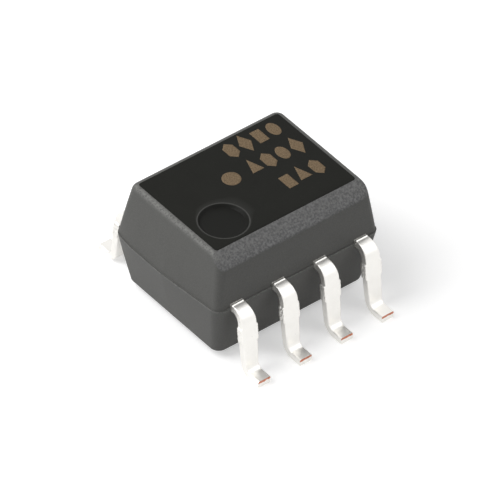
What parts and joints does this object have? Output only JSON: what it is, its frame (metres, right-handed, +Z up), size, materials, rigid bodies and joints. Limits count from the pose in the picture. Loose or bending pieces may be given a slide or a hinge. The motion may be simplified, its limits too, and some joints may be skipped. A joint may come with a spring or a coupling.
{
  "type": "surface-mount opto-isolator chip",
  "caption": "Black moulded small-outline chip with tinned gull-wing leads, a bevelled side and a dished mark beside lead 1, for soldering flat on a circuit board.",
  "frame": {"origin": "on the board plane, under the middle of the moulding", "axes": "+Z up from the board; X along the rows of leads, lead 1 at the -X end; -Y the side of leads 1 to 4, which has the bevel; +Y the side of leads 5 to 8"},
  "size_m": [0.0052, 0.0062, 0.0032],
  "materials": {
    "moulding": "fine spark-eroded black epoxy moulding compound, coarser on the bevel",
    "tinned_lead": "satin tin plating over copper, bare copper at the sheared tips",
    "emitter": "polished red semiconductor",
    "silicon": "polished silicon",
    "attach_paste": "cured silver-filled paste",
    "clear_gel": "clear cured silicone",
    "gold_wire": "bright gold wire"
  },
  "bodies": {
    "root": {"moulded_body": "moulding", "lead_1": "tinned_lead", "lead_2": "tinned_lead", "lead_3": "tinned_lead", "lead_4": "tinned_lead", "lead_5": "tinned_lead", "lead_6": "tinned_lead", "lead_7": "tinned_lead", "lead_8": "tinned_lead", "emitter_chip_1": "emitter", "emitter_chip_2": "emitter", "emitter_attach_1": "attach_paste", "emitter_attach_2": "attach_paste", "detector_chip_1": "silicon", "detector_chip_2": "silicon", "detector_attach_1": "attach_paste", "detector_attach_2": "attach_paste", "coupling_gel_1": "clear_gel", "coupling_gel_2": "clear_gel", "emitter_wire_1": "gold_wire", "emitter_wire_2": "gold_wire", "ground_wire_1": "gold_wire", "ground_wire_2": "gold_wire", "supply_wire_1": "gold_wire", "supply_wire_2": "gold_wire", "output_wire_1": "gold_wire", "output_wire_2": "gold_wire"}
  },
  "joints": []
}
